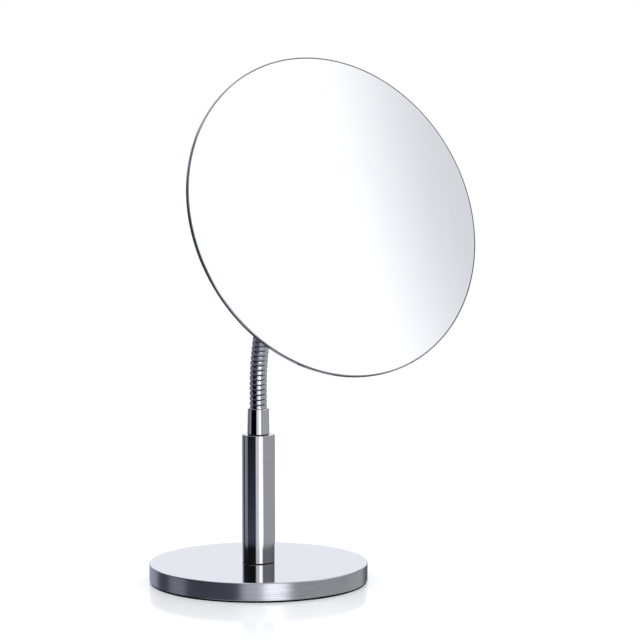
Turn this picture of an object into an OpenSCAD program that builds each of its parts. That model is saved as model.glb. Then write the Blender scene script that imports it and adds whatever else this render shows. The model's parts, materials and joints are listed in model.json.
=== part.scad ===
// Table shaving mirror on a flexible gooseneck, with a weighted round base.
// Lengths are in millimetres and angles in degrees. +Z is up, the mirror faces -Y,
// and the origin is the middle of the base's underside.

/* [Base] */
// Diameter of the base
base_d = 140; // [120:1:180]
// Height of the base's top face
base_h = 12.4; // [11:0.1:16]
// Wall of the drawn base cover
base_wall = 1; // [0.6:0.1:1.2]
// Radius of the cover's top edge
base_edge_r = 0.9; // [0.5:0.1:2]
// Height of the cover's rim above the table
rim_lift = 1.2; // [0.5:0.1:1.8]
// Thickness of the foot pad
pad_t = 2.2; // [2:0.1:2.6]

/* [Column] */
// Diameter of the column
column_d = 21; // [18:0.5:30]
// Length of the column
column_l = 82.6; // [50:0.1:150]
// Wall of the column's sleeve
sleeve_wall = 1.2; // [0.8:0.1:2]
// Thickness of the sleeve's closed top
sleeve_top_t = 1.5; // [1:0.1:2]
// Diameter of the tie rod
rod_d = 6; // [5:0.5:7]

/* [Ferrules] */
// Diameter of a ferrule's foot
ferrule_foot_d = 14.2; // [13.6:0.1:16]
// Diameter of a ferrule's mouth
ferrule_mouth_d = 13.5; // [12.8:0.1:16]
// Length of the ferrule on the column
lower_ferrule_l = 16.6; // [14:0.1:24]
// Length of the ferrule behind the mirror
upper_ferrule_l = 12; // [11:0.1:20]
// Depth of the socket that holds the gooseneck's end
socket_depth = 8.5; // [8.4:0.1:9]

/* [Gooseneck] */
// Outer diameter of the gooseneck
neck_d = 11.1; // [10:0.1:11.5]
// Rise of the winding in one turn
neck_pitch = 3.24; // [3.2:0.01:3.3]
// Turns of the outer wire in each section
section_turns = 3; // [3:1:3]
// Sections of the outer winding
section_count = 17; // [17:1:17]
// Width of the outer wire's face
wire_w = 2.6; // [2.3:0.01:2.65]
// Depth of the outer wire, from its face to its inner edge
wire_depth = 1.4; // [1:0.1:1.5]
// How far the middle of the wire's face stands out beyond its edges
wire_crown = 0.24; // [0.05:0.01:0.4]
// Diameter of the inner wire
core_wire_d = 1.4; // [1:0.1:1.5]
// Outer diameter of the inner coil
core_d = 6.8; // [6:0.1:6.9]
// Straight stretch above the lower ferrule
neck_rise = 13.4; // [5:0.1:20]
// Radius of the lower bend
lower_bend_r = 120; // [110:1:130]
// Angle of the lower bend
lower_bend = 31; // [28:0.1:33]
// Radius of the upper bend
upper_bend_r = 103.8; // [98:0.1:108]
// Angle of the upper bend
upper_bend = 40.2; // [38:0.1:42]

/* [Mirror] */
// Diameter of the mirror over its rim
mirror_d = 200; // [150:1:220]
// Thickness of the mirror at its edge
edge_t = 2.4; // [2.3:0.1:4]
// Thickness of the rim round the glass
rim_t = 0.6; // [0.4:0.1:1]
// Sheet thickness of the back pan
pan_t = 0.5; // [0.4:0.1:0.6]
// Radius of curvature of the back pan
pan_r = 900; // [800:10:1000]
// Thickness of the glass
glass_t = 1.8; // [1.2:0.1:1.8]
// Radius of curvature of the magnifying face
glass_r = 1200; // [1100:10:1400]
// Radius of the pressed boss at the pan's centre
boss_r = 15; // [12:0.5:20]
// Depth of the pressed boss
boss_h = 2.4; // [2:0.1:3]

/* [Hidden] */
$fn = 96;
eps = 0.01;

steel = [0.78, 0.79, 0.81];
dark_rubber = [0.09, 0.09, 0.1];
zinc = [0.62, 0.63, 0.66];
iron = [0.3, 0.3, 0.31];
silvered = [0.9, 0.93, 0.95];
foam = [0.85, 0.85, 0.82];

// base and its fastening
base_r = base_d / 2;
plate_under_z = base_h - base_wall;
weight_r = base_r - base_wall - 0.5;
pad_r = weight_r - 0.6;
rod_clear = 0.2;
nut_flats = 1.66 * rod_d;
nut_h = 0.84 * rod_d;
washer_r = rod_d + 0.3;
washer_t = 1.2;
nut_well_r = washer_r + 1;
nut_z = pad_t + 0.6;
washer_z = nut_z + nut_h;
nut_well_top = washer_z + washer_t;

// column
column_top = base_h + column_l;
sleeve_bore_r = column_d / 2 - sleeve_wall;
spigot_r = 4;
ring_h = 6;

// ferrules
neck_foot_z = column_top + lower_ferrule_l;
socket_r = neck_d / 2 + 0.1;
ferrule_lip = 0.4;
foot_groove = 0.35;

// gooseneck
neck_angle = lower_bend + upper_bend;
lower_bend_l = lower_bend_r * lower_bend * PI / 180;
upper_bend_l = upper_bend_r * upper_bend * PI / 180;
neck_l = neck_rise + lower_bend_l + upper_bend_l;
section_l = section_turns * neck_pitch;
winding_tuck = (section_count * section_l - neck_l) / 2;
wire_steps = 18;
core_steps = 12;
core_sides = 5;
core_turns = section_turns - 0.3;
wire_cut = 3;
cut_phase = 90;
wire_section = [
    [-wire_w / 2, neck_d / 2 - wire_crown],
    [0, neck_d / 2],
    [wire_w / 2, neck_d / 2 - wire_crown],
    [0.2 * wire_w, neck_d / 2 - wire_depth],
    [-0.2 * wire_w, neck_d / 2 - wire_depth]
];
core_section = [
    for (i = [0:core_sides - 1])
        let (a = -360 * (i + 0.25) / core_sides)
            [core_wire_d / 2 * sin(a), core_d / 2 - core_wire_d / 2 + core_wire_d / 2 * cos(a)]
];

// mirror, measured from the plane of its rim
pan_edge_r = mirror_d / 2 - rim_t;
glass_edge_r = pan_edge_r - 0.2;
glass_inset = edge_t - pan_t - glass_t;
pan_depth = edge_t + dish(pan_r, 0) + boss_h;
head_standoff = pan_depth + upper_ferrule_l;
screw_r = 2.5;
screw_head_r = 4.75;
screw_head_h = 2.5;
screw_washer_r = 7;
screw_washer_t = 0.8;
foam_inner_r = 35;
foam_outer_r = 60;

function numbered(name, i) = str(name, "_", i < 10 ? "0" : "", i);

// ---- Neck axis ----

// Lean of the neck's axis at a length s from the lower ferrule's mouth
function lean(s) =
    s <= neck_rise ? 0
    : s <= neck_rise + lower_bend_l ? (s - neck_rise) / lower_bend_r * 180 / PI
    : s <= neck_l ? lower_bend + (s - neck_rise - lower_bend_l) / upper_bend_r * 180 / PI
    : neck_angle;

// Distance forward of the column at a length s
function reach(s) =
    let (a = lean(s))
    s <= neck_rise ? 0
    : s <= neck_rise + lower_bend_l ? lower_bend_r * (1 - cos(a))
    : lower_bend_r * (1 - cos(lower_bend)) + upper_bend_r * (cos(lower_bend) - cos(a))
        + max(0, s - neck_l) * sin(a);

// Height over the lower ferrule's mouth at a length s
function rise(s) =
    let (a = lean(s))
    s <= neck_rise ? s
    : s <= neck_rise + lower_bend_l ? neck_rise + lower_bend_r * sin(a)
    : neck_rise + lower_bend_r * sin(lower_bend) + upper_bend_r * (sin(a) - sin(lower_bend))
        + max(0, s - neck_l) * cos(a);

// A point beside the neck's axis: s and along run with the axis, out and turn go round it
function neck_point(s, along, out, turn) =
    let (a = lean(s), side = out * cos(turn), up = out * sin(turn))
    [
        side,
        -reach(s) - along * sin(a) + up * cos(a),
        neck_foot_z + rise(s) + along * cos(a) + up * sin(a)
    ];

// Length along the axis at which section i starts
function section_start(i) = (i - 1) * section_l - winding_tuck;

// ---- Shared shapes ----

// Points of an arc about (cx, cy)
function arc(cx, cy, r, from, to, steps) = [
    for (i = [0:steps])
        let (a = from + (to - from) * i / steps)
            [cx + r * cos(a), cy + r * sin(a)]
];

// Depth of a dished face of radius of curvature big_r, at r from its middle, below its edge
function dish(big_r, r) = sqrt(pow(big_r, 2) - r * r) - sqrt(pow(big_r, 2) - pow(glass_edge_r, 2));

// Points of a dished face from radius r1 to r2, at a height z of its edge
function dished(big_r, r1, r2, z, steps) = [
    for (i = [0:steps])
        let (r = r1 + (r2 - r1) * i / steps)
            [r, z - dish(big_r, r)]
];

module revolve(points) {
    rotate_extrude()
        polygon(points);
}

// A wire wound round the neck's axis, with its ends cut square
module wound_wire(s_start, turns, first_turn, section, steps_per_turn) {
    sides = len(section);
    steps = ceil((turns * steps_per_turn) - eps);
    points = [
        for (i = [0:steps], p = section)
            let (t = turns * i / steps)
                neck_point(s_start + t * neck_pitch, p[0], p[1], first_turn + 360 * t)
    ];
    walls = [
        for (i = [0:steps - 1], j = [0:sides - 1])
            let (a = i * sides + j, b = i * sides + (j + 1) % sides)
                each [[a, b, a + sides], [b, b + sides, a + sides]]
    ];
    first_end = [for (j = [1:sides - 2]) [0, j + 1, j]];
    last = steps * sides;
    last_end = [for (j = [1:sides - 2]) [last, last + j, last + j + 1]];
    polyhedron(points, concat(walls, first_end, last_end), convexity = 10);
}

// Puts the mirror's own frame, whose +Z is the way that the mirror faces, in its place
module at_mirror() {
    translate(neck_point(neck_l + head_standoff, 0, 0, 0))
        rotate([neck_angle, 0, 0])
            children();
}

// A tapered socket for the gooseneck's end, with its foot at z = 0 and its mouth up
module ferrule(length, bore_r) {
    foot_r = ferrule_foot_d / 2;
    mouth_r = ferrule_mouth_d / 2;
    revolve([
        [bore_r, 0],
        [foot_r - foot_groove, 0],
        [foot_r - foot_groove, foot_groove],
        [foot_r, foot_groove + 0.15],
        [mouth_r, length - ferrule_lip],
        [mouth_r - ferrule_lip / 2, length],
        [socket_r + 0.2, length],
        [socket_r, length - 0.2],
        [socket_r, length - socket_depth],
        [bore_r, length - socket_depth]
    ]);
}

// ---- Base ----

// Drawn steel cover with a rounded top edge and an open underside
module base_cover() {
    hole_r = rod_d / 2 + rod_clear;
    inner_r = base_r - base_wall;
    inner_edge_r = 0.4;
    color(steel)
        revolve(concat(
            [[hole_r, plate_under_z], [hole_r, base_h]],
            arc(base_r - base_edge_r, base_h - base_edge_r, base_edge_r, 90, 0, 6),
            [[base_r, rim_lift + 0.25], [base_r - 0.25, rim_lift], [inner_r, rim_lift]],
            arc(inner_r - inner_edge_r, plate_under_z - inner_edge_r, inner_edge_r, 0, 90, 3)
        ));
}

// Cast ballast disc with a well for the nut
module base_weight() {
    hole_r = rod_d / 2 + rod_clear;
    chamfer = 0.6;
    color(iron)
        revolve([
            [nut_well_r, pad_t],
            [weight_r - chamfer, pad_t],
            [weight_r, pad_t + chamfer],
            [weight_r, plate_under_z - chamfer],
            [weight_r - chamfer, plate_under_z],
            [hole_r, plate_under_z],
            [hole_r, nut_well_top],
            [nut_well_r, nut_well_top]
        ]);
}

// Foot pad under the ballast
module base_pad() {
    chamfer = 0.3;
    color(dark_rubber)
        revolve([
            [0, 0],
            [pad_r - chamfer, 0],
            [pad_r, chamfer],
            [pad_r, pad_t],
            [0, pad_t]
        ]);
}

module base_nut() {
    corner_r = nut_flats / sqrt(3);
    color(zinc)
        translate([0, 0, nut_z])
            difference() {
                intersection() {
                    cylinder(r = corner_r, h = nut_h, $fn = 6);
                    cylinder(r1 = nut_flats / 2 + 0.25, r2 = nut_flats / 2 + nut_h, h = nut_h);
                }
                translate([0, 0, -1])
                    cylinder(d = rod_d + 0.1, h = nut_h + 2);
            }
}

module base_washer() {
    color(zinc)
        translate([0, 0, washer_z])
            difference() {
                cylinder(r = washer_r, h = washer_t);
                translate([0, 0, -1])
                    cylinder(d = rod_d + 0.4, h = washer_t + 2);
            }
}

// ---- Column ----

// Drawn tube with a closed top, through which the lower ferrule is centred
module column_sleeve() {
    outer_r = column_d / 2;
    edge_r = 0.35;
    hole_r = spigot_r + 0.1;
    color(steel)
        revolve(concat(
            [[sleeve_bore_r, base_h], [outer_r - 0.2, base_h], [outer_r, base_h + 0.2]],
            arc(outer_r - edge_r, column_top - edge_r, edge_r, 0, 90, 4),
            [[hole_r, column_top], [hole_r, column_top - sleeve_top_t]],
            [[sleeve_bore_r, column_top - sleeve_top_t]]
        ));
}

// Ring that centres the sleeve's foot on the tie rod
module column_centring_ring() {
    ring_r = sleeve_bore_r - 0.05;
    hole_r = rod_d / 2 + rod_clear;
    chamfer = 0.5;
    color(zinc)
        revolve([
            [hole_r, base_h],
            [ring_r, base_h],
            [ring_r, base_h + ring_h - chamfer],
            [ring_r - chamfer, base_h + ring_h],
            [hole_r, base_h + ring_h]
        ]);
}

// Threaded rod that pulls ferrule, sleeve, cover and weight together
module column_tie_rod() {
    rod_r = rod_d / 2;
    low = nut_z - 0.3;
    high = neck_foot_z - socket_depth - 1;
    chamfer = 0.5;
    color(zinc)
        revolve([
            [0, low],
            [rod_r - chamfer, low],
            [rod_r, low + chamfer],
            [rod_r, high - chamfer],
            [rod_r - chamfer, high],
            [0, high]
        ]);
}

// ---- Gooseneck ----

// Ferrule on the column, with a spigot in the sleeve's top and a bore for the tie rod
module neck_lower_ferrule() {
    bore_r = rod_d / 2 + 0.05;
    color(steel)
        translate([0, 0, column_top])
            union() {
                ferrule(lower_ferrule_l, bore_r);
                difference() {
                    translate([0, 0, -sleeve_top_t])
                        cylinder(r = spigot_r, h = sleeve_top_t + 1);
                    translate([0, 0, -sleeve_top_t - 1])
                        cylinder(r = bore_r, h = sleeve_top_t + 3);
                }
            }
}

// Ferrule on the mirror's back, with a bore for the mirror's screw
module neck_upper_ferrule() {
    color(steel)
        at_mirror()
            translate([0, 0, -pan_depth])
                rotate([180, 0, 0])
                    ferrule(upper_ferrule_l, screw_r + 0.05);
}

// One section of the outer wire, wound on its inner edge with its flat face outwards
module neck_winding(i) {
    cut_turns = wire_cut / 360;
    color(steel)
        wound_wire(
            section_start(i) + cut_turns * neck_pitch,
            section_turns - 2 * cut_turns,
            cut_phase + wire_cut,
            wire_section,
            wire_steps
        );
}

// One length of the inner round wire, which bridges section i and the next
module neck_core(i) {
    core_start = section_start(i + 1) - core_turns * neck_pitch / 2;
    color(zinc)
        wound_wire(
            core_start,
            core_turns,
            cut_phase - 180 * core_turns,
            core_section,
            core_steps
        );
}

// ---- Mirror ----

// Spun back pan: a rim flush with the glass, a dished back and a pressed centre boss
module mirror_back_pan() {
    outer_r = mirror_d / 2;
    round_r = 0.8;
    wall_run = 2;
    foot_r = boss_r - wall_run;
    hole_r = screw_r + 0.2;
    back_z = -edge_t;
    seat_z = back_z + pan_t;
    color(steel)
        at_mirror()
            revolve(concat(
                [[hole_r, -pan_depth], [foot_r, -pan_depth]],
                dished(pan_r, boss_r, glass_edge_r - 0.4, back_z, 10),
                arc(outer_r - round_r, back_z + round_r, round_r, -75, 0, 4),
                [[outer_r, -0.2], [outer_r - 0.2, 0], [pan_edge_r, 0], [pan_edge_r, seat_z]],
                dished(pan_r, glass_edge_r, boss_r - pan_t / 2, seat_z, 10),
                [[foot_r - pan_t / 2, pan_t - pan_depth], [hole_r, pan_t - pan_depth]]
            ));
}

// Slumped magnifying glass, silvered on its back
module mirror_glass() {
    color(silvered)
        at_mirror()
            revolve(concat(
                dished(glass_r, 0, glass_edge_r, -glass_inset - glass_t, 10),
                [[glass_edge_r, -glass_inset - 0.2]],
                dished(glass_r, glass_edge_r - 0.2, 0, -glass_inset, 10)
            ));
}

// Adhesive foam ring between the glass and the pan
module mirror_foam_ring() {
    color(foam)
        at_mirror()
            revolve(concat(
                dished(pan_r, foam_inner_r, foam_outer_r, pan_t - edge_t, 5),
                dished(glass_r, foam_outer_r, foam_inner_r, -glass_inset - glass_t, 5)
            ));
}

// Hexagon socket screw that holds the pan to the upper ferrule
module mirror_screw() {
    floor_z = pan_t - pan_depth + screw_washer_t;
    shank_l = pan_t + screw_washer_t + upper_ferrule_l - socket_depth - 0.4;
    color(zinc)
        at_mirror()
            translate([0, 0, floor_z])
                difference() {
                    union() {
                        cylinder(r = screw_head_r, h = screw_head_h);
                        translate([0, 0, -shank_l])
                            cylinder(r = screw_r, h = shank_l + 1);
                    }
                    translate([0, 0, 1])
                        cylinder(r = 1.73, h = screw_head_h, $fn = 6);
                }
}

module mirror_washer() {
    color(zinc)
        at_mirror()
            translate([0, 0, pan_t - pan_depth])
                difference() {
                    cylinder(r = screw_washer_r, h = screw_washer_t);
                    translate([0, 0, -1])
                        cylinder(r = screw_r + 0.2, h = screw_washer_t + 2);
                }
}

base_cover();
base_weight();
base_pad();
base_nut();
base_washer();
column_sleeve();
column_centring_ring();
column_tie_rod();
neck_lower_ferrule();
neck_upper_ferrule();
mirror_back_pan();
mirror_glass();
mirror_foam_ring();
mirror_screw();
mirror_washer();
for (i = [1:section_count])
    neck_winding(i);
for (i = [1:section_count - 1])
    neck_core(i);
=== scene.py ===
"""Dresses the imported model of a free-standing shaving mirror on a gooseneck.

The mirror stands on a heavy round base with a short column. A wound metal
gooseneck rises from the column and leans forward into the back of a round
magnifying mirror. The object's lengths are millimetres until a mesh is made,
when they become metres. The studio's are metres.
"""

from __future__ import annotations

import functools
import json
import logging
import math
import sys
from collections.abc import Callable
from dataclasses import asdict, dataclass, field
from enum import Enum

import bmesh
import bpy
from mathutils import Matrix, Vector

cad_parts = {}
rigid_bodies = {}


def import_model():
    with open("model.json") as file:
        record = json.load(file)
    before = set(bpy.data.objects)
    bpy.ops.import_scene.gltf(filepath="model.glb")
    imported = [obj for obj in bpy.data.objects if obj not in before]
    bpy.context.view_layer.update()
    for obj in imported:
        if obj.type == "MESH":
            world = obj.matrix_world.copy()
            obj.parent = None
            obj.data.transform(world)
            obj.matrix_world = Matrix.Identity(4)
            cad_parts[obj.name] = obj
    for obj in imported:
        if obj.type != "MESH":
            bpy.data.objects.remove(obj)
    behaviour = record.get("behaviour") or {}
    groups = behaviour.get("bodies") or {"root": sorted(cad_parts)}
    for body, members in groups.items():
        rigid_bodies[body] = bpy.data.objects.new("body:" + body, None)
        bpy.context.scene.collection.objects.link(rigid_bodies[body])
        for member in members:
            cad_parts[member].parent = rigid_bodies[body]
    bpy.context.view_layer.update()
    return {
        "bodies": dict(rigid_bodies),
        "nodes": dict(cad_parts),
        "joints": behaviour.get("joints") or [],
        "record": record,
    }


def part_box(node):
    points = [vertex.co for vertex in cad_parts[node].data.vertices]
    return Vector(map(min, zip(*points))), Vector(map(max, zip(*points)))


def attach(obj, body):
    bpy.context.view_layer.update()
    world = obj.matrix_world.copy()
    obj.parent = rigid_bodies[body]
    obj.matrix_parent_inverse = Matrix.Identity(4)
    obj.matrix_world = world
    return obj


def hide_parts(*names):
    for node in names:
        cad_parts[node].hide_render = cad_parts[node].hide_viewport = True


LOG = logging.getLogger("shaving_mirror")
MM = 0.001
HAIR = 0.01  # a margin in mm that keeps the faces past an edge out of a choice
FRAME: dict[str, dict[str, object]] = {}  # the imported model, filled in by main

Outline = list[tuple[float, float]]


# ---- Node trees ----


def srgb(code: str) -> tuple[float, float, float, float]:
    """Turns a hex colour into linear values.

    Args:
        code: Six hex digits of an sRGB colour.

    Returns:
        Linear red, green and blue with an alpha of 1.
    """
    linear = []
    for place in (0, 2, 4):
        value = int(code[place : place + 2], 16) / 255
        linear.append(value / 12.92 if value <= 0.04045 else ((value + 0.055) / 1.055) ** 2.4)
    return linear[0], linear[1], linear[2], 1.0


def add_node(
    tree: bpy.types.NodeTree,
    kind: str,
    inputs: dict[str | int, object] | None = None,
    **settings: object,
) -> bpy.types.Node:
    """Adds one node with its settings, values and links.

    Args:
        tree: The node tree that gets the node.
        kind: The node's type name.
        inputs: What goes into each input socket: a value, a socket or a Number.
        **settings: The node's own settings.

    Returns:
        The new node.
    """
    node = tree.nodes.new(kind)
    for name, value in settings.items():
        setattr(node, name, value)
    for key, value in (inputs or {}).items():
        source = value.socket if isinstance(value, Number) else value
        if isinstance(source, bpy.types.NodeSocket):
            tree.links.new(source, node.inputs[key])
        else:
            node.inputs[key].default_value = source
    return node


def operator(operation: str, first: bool = True) -> Callable[[Number, Number | float], Number]:
    """A method of Number that works out one operation. See Number.calc."""
    return lambda number, other: number.calc(operation, other, first=first)


@dataclass(frozen=True)
class Number:
    """A number that a node tree works out, so that a formula reads as one."""

    tree: bpy.types.NodeTree
    socket: bpy.types.NodeSocket

    def calc(self, operation: str, *others: Number | float, first: bool = True) -> Number:
        """Works out one operation of the Math node.

        Args:
            operation: The Math node's operation.
            *others: The other terms.
            first: Whether this number is the first term, or the second.

        Returns:
            The result.
        """
        terms = [self, *others] if first else [*others, self]
        node = add_node(self.tree, "ShaderNodeMath", dict(enumerate(terms)), operation=operation)
        return Number(self.tree, node.outputs[0])

    __add__ = __radd__ = operator("ADD")
    __sub__ = operator("SUBTRACT")
    __rsub__ = operator("SUBTRACT", first=False)
    __mul__ = __rmul__ = operator("MULTIPLY")
    __truediv__ = operator("DIVIDE")
    __pow__ = operator("POWER")

    def clamp(self, low: Number | float, high: Number | float) -> Number:
        """This number, kept between low and high."""
        return self.calc("MAXIMUM", low).calc("MINIMUM", high)

    def ease(self, low: float, high: float) -> Number:
        """Rises smoothly from 0 to 1.

        Args:
            low: Where the rise starts.
            high: Where it ends.

        Returns:
            0 below low, 1 above high and a smooth rise between them.
        """
        values = {0: self, 1: low, 2: high}
        node = add_node(self.tree, "ShaderNodeMapRange", values, interpolation_type="SMOOTHSTEP")
        return Number(self.tree, node.outputs[0])


def emptied_tree(owner: bpy.types.Material | bpy.types.World) -> bpy.types.NodeTree:
    """Clears the node tree of a material or world.

    Args:
        owner: The material or world.

    Returns:
        Its node tree, now empty.
    """
    owner.use_nodes = True
    owner.node_tree.nodes.clear()
    return owner.node_tree


# ---- Meshes ----


def rounded(
    middle: tuple[float, float], radius: float, start: float, end: float, steps: int = 8
) -> Outline:
    """Points of a rounded edge.

    Args:
        middle: The rounding's centre, as radius and height.
        radius: The rounding's own radius.
        start: Its first angle in degrees, from outwards and up.
        end: Its last angle in degrees.
        steps: How many chords it has.

    Returns:
        The points, both ends among them.
    """
    angles = [math.radians(start + (end - start) * i / steps) for i in range(steps + 1)]
    return [
        (middle[0] + radius * math.cos(a), middle[1] + radius * math.sin(a)) for a in angles
    ]


def guarded(outline: Outline, reach: float = 0.06, shortest: float = 0.9) -> Outline:
    """Adds a point near each end of a long straight run, so that it shades flat.

    Args:
        outline: The outline, closed from its last point to its first.
        reach: How far the new points are from the run's ends.
        shortest: Runs shorter than this are left alone.

    Returns:
        The outline with its new points.
    """
    guarded_points: Outline = []
    for here, there in zip(outline, outline[1:] + outline[:1]):
        guarded_points.append(here)
        run = math.dist(here, there)
        on_axis = here[0] == 0 and there[0] == 0
        if run < shortest or on_axis:
            continue
        for share in (reach / run, 1 - reach / run):
            guarded_points.append(tuple(h + (t - h) * share for h, t in zip(here, there)))
    return guarded_points


def finish_mesh(mesh: bpy.types.Mesh, crease: float = 30.0) -> None:
    """Merges doubles, points the faces outwards and smooths the shading.

    Args:
        mesh: A closed mesh.
        crease: Edges that turn more than this, in degrees, stay sharp.
    """
    work = bmesh.new()
    work.from_mesh(mesh)
    bmesh.ops.remove_doubles(work, verts=work.verts, dist=0.0001 * MM)
    bmesh.ops.recalc_face_normals(work, faces=work.faces)
    work.to_mesh(mesh)
    work.free()
    mesh.shade_smooth()
    mesh.set_sharp_from_angle(angle=math.radians(crease))
    mesh.update()


def shown(name: str, mesh: bpy.types.Mesh) -> bpy.types.Object:
    """Puts a mesh in the scene.

    Args:
        name: The new object's name.
        mesh: The mesh.

    Returns:
        The object, at the origin.
    """
    piece = bpy.data.objects.new(name, mesh)
    bpy.context.scene.collection.objects.link(piece)
    return piece


def turned(
    name: str, outline: Outline, place: Matrix | None = None, segments: int = 256
) -> bpy.types.Object:
    """Turns an outline about an axis into a closed solid.

    Args:
        name: The piece's name.
        outline: Radius and height of each point, in order. It starts and ends
            on the axis, or else is closed from its last point to its first.
        place: Where the axis stands, in millimetres. Upright where left out.
        segments: How many steps there are round the axis.

    Returns:
        The new object.
    """
    vertices: list[tuple[float, float, float]] = []
    rings: list[list[int]] = []
    round_steps = [2 * math.pi * i / segments for i in range(segments)]
    for radius, height in outline:
        start = len(vertices)
        if radius == 0:
            vertices.append((0.0, 0.0, height))
        else:
            vertices.extend(
                (radius * math.cos(a), radius * math.sin(a), height) for a in round_steps
            )
        rings.append(list(range(start, len(vertices))))
    pairs = list(zip(rings, rings[1:]))
    if len(rings[0]) > 1:
        pairs.append((rings[-1], rings[0]))
    faces = []
    for low, high in pairs:
        for i in range(segments):
            j = (i + 1) % segments
            corners = ((low, i), (low, j), (high, j), (high, i))
            faces.append(tuple(dict.fromkeys(ring[k % len(ring)] for ring, k in corners)))
    mesh = bpy.data.meshes.new(name)
    mesh.from_pydata(vertices, [], faces)
    mesh.transform(Matrix.Scale(MM, 4) @ (place or Matrix.Identity(4)))
    finish_mesh(mesh)
    return shown(name, mesh)


# ---- Finishes ----


class Lay(Enum):
    """Which way the marks of making run over a surface."""

    TURNED = "rings about the upright axis"
    SPUN = "rings about the mirror's axis"
    WOUND = "lines along the wound wire"


@dataclass(frozen=True)
class MetalFinish:
    """A metal, and the marks that its making left.

    Attributes:
        name: Its common name and how its surface was made.
        colour, worn_colour: Its colour between and in the marks, sRGB hex.
        roughness, marked_roughness: Its roughness between and in the marks.
        lay: Which way the marks run.
        spacing, length, depth: The marks' sizes in mm.
        anisotropy: How far the marks stretch a reflection across them.
    """

    name: str
    colour: str
    worn_colour: str
    roughness: float
    marked_roughness: float
    lay: Lay
    spacing: float
    length: float
    depth: float
    anisotropy: float = 0.0

    def build(self, axis: Matrix | None = None) -> bpy.types.Material:
        """Makes the material.

        Args:
            axis: Where the axis that the marks follow stands, in millimetres.

        Returns:
            The material.
        """
        material = bpy.data.materials.new(self.name)
        tree = emptied_tree(material)
        run, across = self._run(tree, axis)
        # Marks with clear edges, and among them broad soft clouds eight times as wide
        marks, clouds = (
            Number(tree, add_node(tree, "ShaderNodeTexNoise", {"Vector": run, **noise}).outputs[0])
            for noise in (
                {"Scale": 1.0, "Detail": 3.0, "Roughness": 0.65},
                {"Scale": 0.13, "Detail": 1.0},
            )
        )
        marks = marks.ease(0.36, 0.64)
        wear = marks * 0.7 + clouds * 0.3
        inputs = {"Metallic": 1.0, "Anisotropic": self.anisotropy}
        if self.anisotropy:
            inputs["Tangent"] = across
        roughness = wear * (self.marked_roughness - self.roughness) + self.roughness
        coat_surface(
            tree, wear, (self.colour, self.worn_colour), roughness, marks, self.depth, inputs
        )
        return material

    def _run(
        self, tree: bpy.types.NodeTree, axis: Matrix | None
    ) -> tuple[bpy.types.NodeSocket, bpy.types.NodeSocket]:
        """Finds where a point lies among the marks.

        Args:
            tree: The material's node tree.
            axis: Where the marks' axis stands, in millimetres.

        Returns:
            The place, in spacings across the marks and lengths along them, and
            the direction across the marks.
        """
        normal = add_node(tree, "ShaderNodeNewGeometry").outputs["Normal"]
        crossed = {"operation": "CROSS_PRODUCT"}
        if self.lay is Lay.WOUND:
            lay = add_node(tree, "ShaderNodeAttribute", attribute_name="wire_lay")
            split = add_node(tree, "ShaderNodeSeparateXYZ", {0: lay.outputs["Vector"]})
            along, over, _ = (Number(tree, part) for part in split.outputs)
            place_on_wire = {0: over / self.spacing, 1: along / self.length}
            return add_node(tree, "ShaderNodeCombineXYZ", place_on_wire).outputs[0], normal
        here = add_node(tree, "ShaderNodeTexCoord").outputs["Object"]
        upright = Vector((0, 0, 1))
        spoke = here
        if axis is not None:
            place, turn, _ = axis.decompose()
            offset = {0: here, 1: place * MM}
            spoke = add_node(tree, "ShaderNodeVectorMath", offset, operation="SUBTRACT").outputs[0]
            frame = {"Vector": here, "Location": place * MM, "Rotation": turn.to_euler()}
            here = add_node(tree, "ShaderNodeMapping", frame, vector_type="TEXTURE").outputs[0]
            upright = turn @ upright
        split = add_node(tree, "ShaderNodeSeparateXYZ", {0: here})
        x, y, z = (Number(tree, part) * (1 / MM) for part in split.outputs)
        ring = add_node(tree, "ShaderNodeVectorMath", {0: upright, 1: spoke}, **crossed).outputs[0]
        radius = (x * x + y * y) ** 0.5
        # A mark spans the same angle on every ring, and has its length on a middling one
        middling = 30.0
        stretch = radius * (self.length / middling)
        place_on_ring = {0: (radius - z) / self.spacing, 1: x / stretch, 2: y / stretch}
        across = add_node(tree, "ShaderNodeVectorMath", {0: normal, 1: ring}, **crossed).outputs[0]
        return add_node(tree, "ShaderNodeCombineXYZ", place_on_ring).outputs[0], across


@dataclass(frozen=True)
class SoftFinish:
    """A non-metal or dull surface, and its fine texture.

    Attributes:
        name: Its common name and how its surface was made.
        colour, shade: Its colour, and a darker colour painted into its hollows as shade, sRGB hex.
        roughness: Its roughness.
        grain, depth: The width and depth of its texture in mm.
        metallic: 1 for a bare or plated metal.
        specular: The shine of a non-metal, where 0.5 is a smooth plastic's.
    """

    name: str
    colour: str
    shade: str
    roughness: float
    grain: float
    depth: float
    metallic: float = 0.0
    specular: float = 0.5

    @functools.cache
    def build(self) -> bpy.types.Material:
        """Makes the material, once for all the pieces that share it.

        Returns:
            The material.
        """
        material = bpy.data.materials.new(self.name)
        tree = emptied_tree(material)
        texture = {
            "Vector": add_node(tree, "ShaderNodeTexCoord").outputs["Object"],
            "Scale": 1 / (self.grain * MM),
            "Detail": 4.0,
            "Roughness": 0.6,
        }
        height = Number(tree, add_node(tree, "ShaderNodeTexNoise", texture).outputs[0])
        height = height.ease(0.3, 0.7)
        # The hollows are rougher than the raised parts
        contrast = 0.12
        roughness = height * -contrast + (self.roughness + contrast / 2)
        inputs = {"Metallic": self.metallic, "Specular IOR Level": self.specular}
        # The texture's hollows get the darker colour, painted shade
        coat_surface(
            tree, height, (self.shade, self.colour), roughness, height, self.depth, inputs
        )
        return material


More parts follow.
